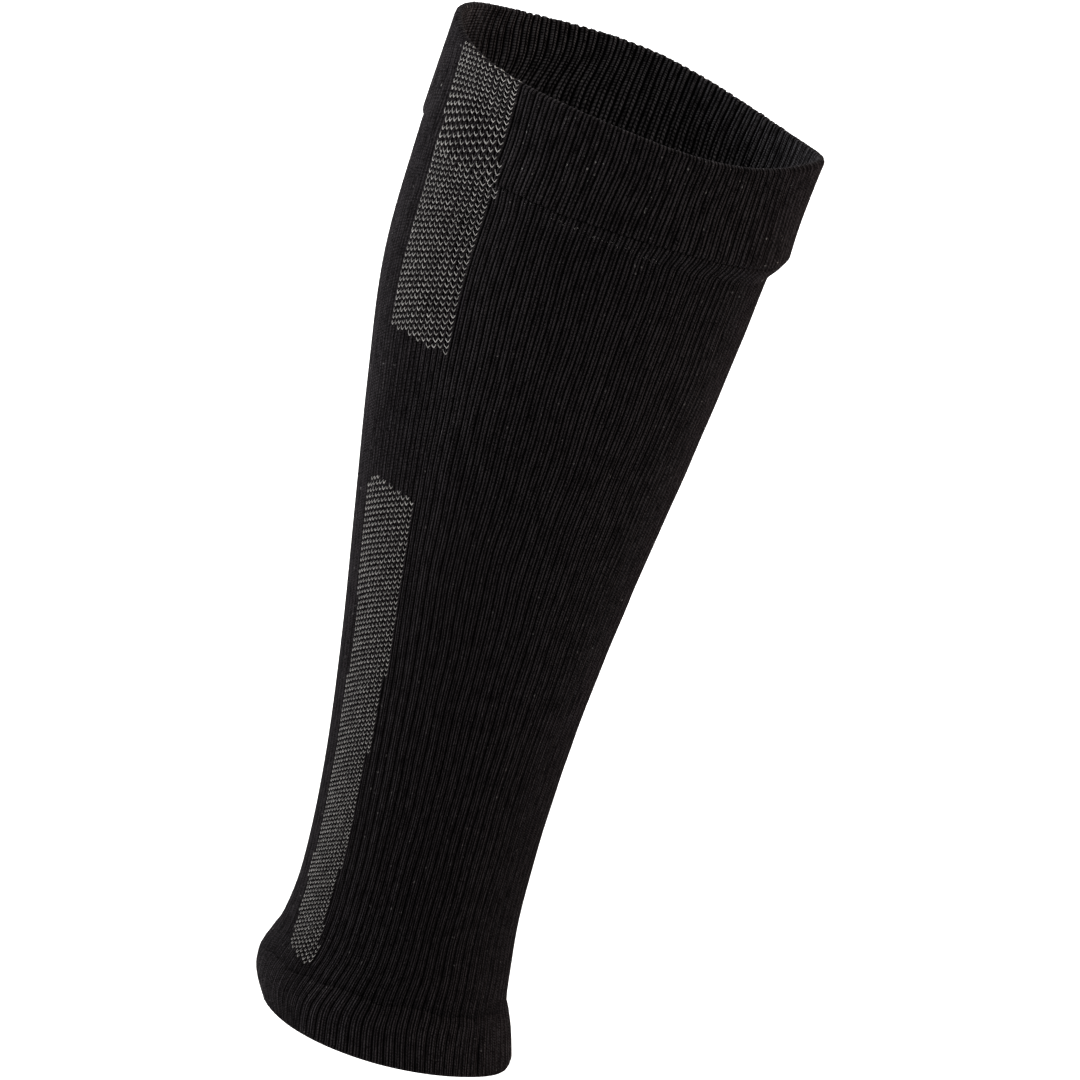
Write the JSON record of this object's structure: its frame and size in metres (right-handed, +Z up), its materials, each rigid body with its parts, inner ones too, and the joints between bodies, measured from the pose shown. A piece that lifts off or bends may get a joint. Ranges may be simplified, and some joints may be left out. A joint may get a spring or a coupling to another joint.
{
  "type": "calf compression sleeve",
  "caption": "Ribbed knitted sleeve for the lower leg, shaped to the calf, with a turned double cuff, an ankle band and a light knitted stripe.",
  "frame": {"origin": "on the leg's axis, in the plane of the ankle rim", "axes": "+Z up the leg from ankle to knee, +X toward the calf muscle, -X toward the shin, -Y the outer side of the leg with the stripe"},
  "size_m": [0.1337, 0.1186, 0.352],
  "materials": {
    "knit_black": "matte ribbed knit of nylon and elastane, near black",
    "cuff_black": "matte double ribbed knit, near black",
    "light_yarn": "light grey yarn in small separate stitches on a dark ground"
  },
  "bodies": {
    "root": {"calf_tube": "knit_black", "top_cuff": "cuff_black", "ankle_cuff": "cuff_black", "cuff_stripe": "light_yarn", "upper_stripe": "light_yarn", "lower_stripe": "light_yarn"}
  },
  "joints": []
}
